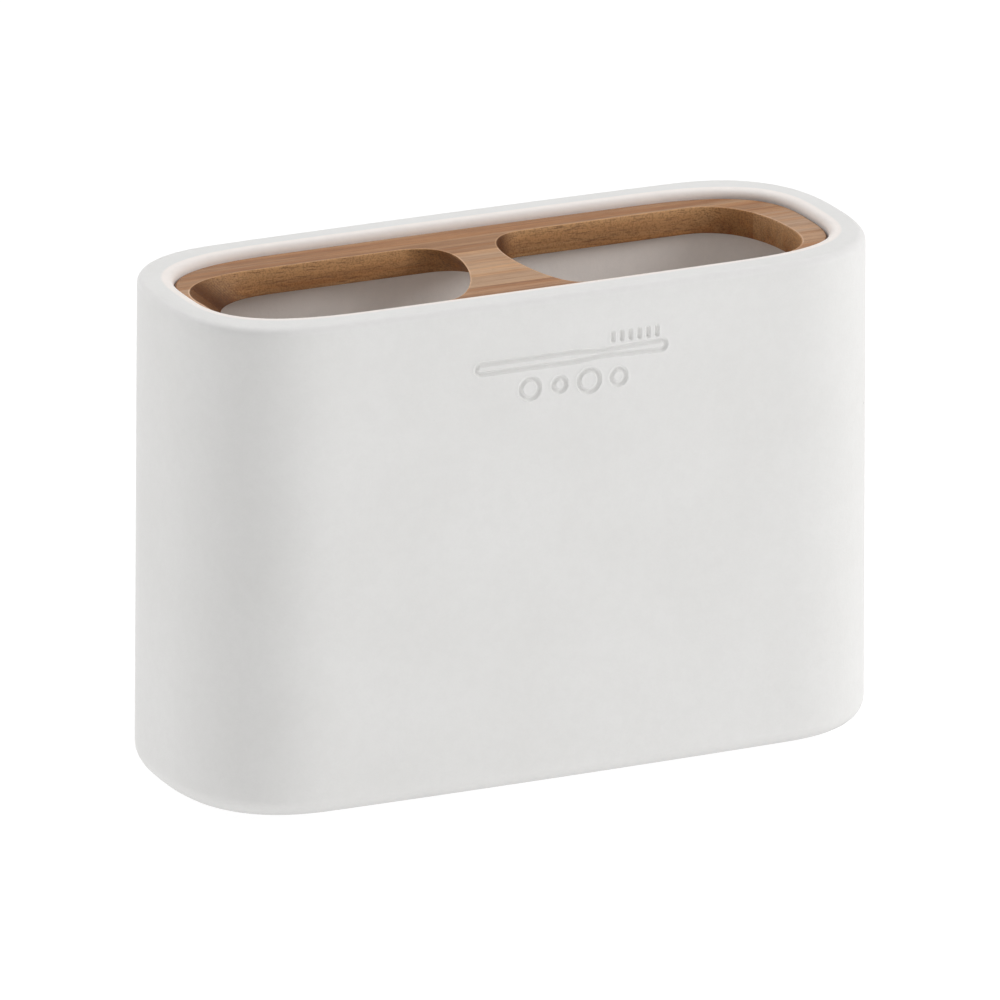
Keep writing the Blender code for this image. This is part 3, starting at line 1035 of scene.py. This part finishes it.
def floor_material():
    """A pale matt floor that glows, so that it stays even and nearly free of shadow."""
    nodes = Nodes("studio_floor")
    nodes.shade("Base Color", nodes.ramp(nodes.noise(*FLOOR_CLOUDS), NOISE_BAND, FLOOR_TONES))
    nodes.shade("Roughness", FLOOR_ROUGHNESS)
    nodes.shade("Specular IOR Level", FLOOR_SPECULAR)
    nodes.shade("Emission Color", WHITE)
    nodes.shade("Emission Strength", FLOOR_GLOW)
    return nodes.material


# Studio

def build_floor():
    sides = ((-1.0, -1.0), (1.0, -1.0), (1.0, 1.0), (-1.0, 1.0))
    corners = [(FLOOR_REACH * x, FLOOR_REACH * y, -FLOOR_DROP) for x, y in sides]
    mesh = bpy.data.meshes.new("studio_floor")
    mesh.from_pydata(corners, [], [(0, 1, 2, 3)])
    mesh.materials.append(floor_material())
    floor = bpy.data.objects.new("studio_floor", mesh)
    bpy.context.scene.collection.objects.link(floor)


def add_softbox(name, azimuth, elevation, side, power):
    """A square light that faces LIGHT_TARGET."""
    turn = math.radians(azimuth)
    lift = math.radians(elevation)
    away = Vector((math.sin(turn) * math.cos(lift), -math.cos(turn) * math.cos(lift), math.sin(lift)))
    data = bpy.data.lights.new(name, "AREA")
    data.shape = "SQUARE"
    data.size = side
    data.energy = power
    light = bpy.data.objects.new(name, data)
    light.location = Vector(LIGHT_TARGET) + away * LIGHT_DISTANCE
    light.rotation_mode = "QUATERNION"
    light.rotation_quaternion = away.to_track_quat("Z", "Y")
    bpy.context.scene.collection.objects.link(light)


def build_lights():
    world = bpy.data.worlds.new("studio")
    world.use_nodes = True
    background = world.node_tree.nodes["Background"]
    background.inputs["Color"].default_value = (*WHITE, 1.0)
    background.inputs["Strength"].default_value = SURROUND_STRENGTH
    bpy.context.scene.world = world
    for name, (azimuth, elevation, side, power) in SOFTBOXES.items():
        add_softbox(name, azimuth, elevation, side, power)
    bpy.context.scene.view_settings.view_transform = "Standard"


def camera_axes():
    """The camera's right, up and forward directions."""
    azimuth = math.radians(VIEW_AZIMUTH)
    elevation = math.radians(VIEW_ELEVATION)
    roll = math.radians(VIEW_ROLL)
    level_forward = Vector((math.sin(azimuth), math.cos(azimuth), 0.0))
    forward = level_forward * math.cos(elevation) - Vector((0.0, 0.0, math.sin(elevation)))
    level = Vector((math.cos(azimuth), -math.sin(azimuth), 0.0))
    upright = level.cross(forward)
    right = level * math.cos(roll) + upright * math.sin(roll)
    up = upright * math.cos(roll) - level * math.sin(roll)
    return right, up, forward


def build_camera():
    data = bpy.data.cameras.new("camera")
    data.sensor_width = SENSOR_WIDTH
    data.lens = VIEW_LENS
    data.clip_start = CLIP_START
    data.clip_end = CLIP_END
    camera = bpy.data.objects.new("camera", data)
    right, up, forward = camera_axes()
    low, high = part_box("cup_body")
    middle = 0.5 * (low + high)
    place = middle - right * AIM_RIGHT - up * AIM_UP - forward * VIEW_DISTANCE
    axes = Matrix((right, up, -forward)).transposed().to_4x4()
    camera.matrix_world = Matrix.Translation(place) @ axes
    bpy.context.scene.collection.objects.link(camera)
    bpy.context.scene.camera = camera


build_camera()
build_cup(resin_material())
build_insert()
build_pads(foam_material())
build_floor()
build_lights()
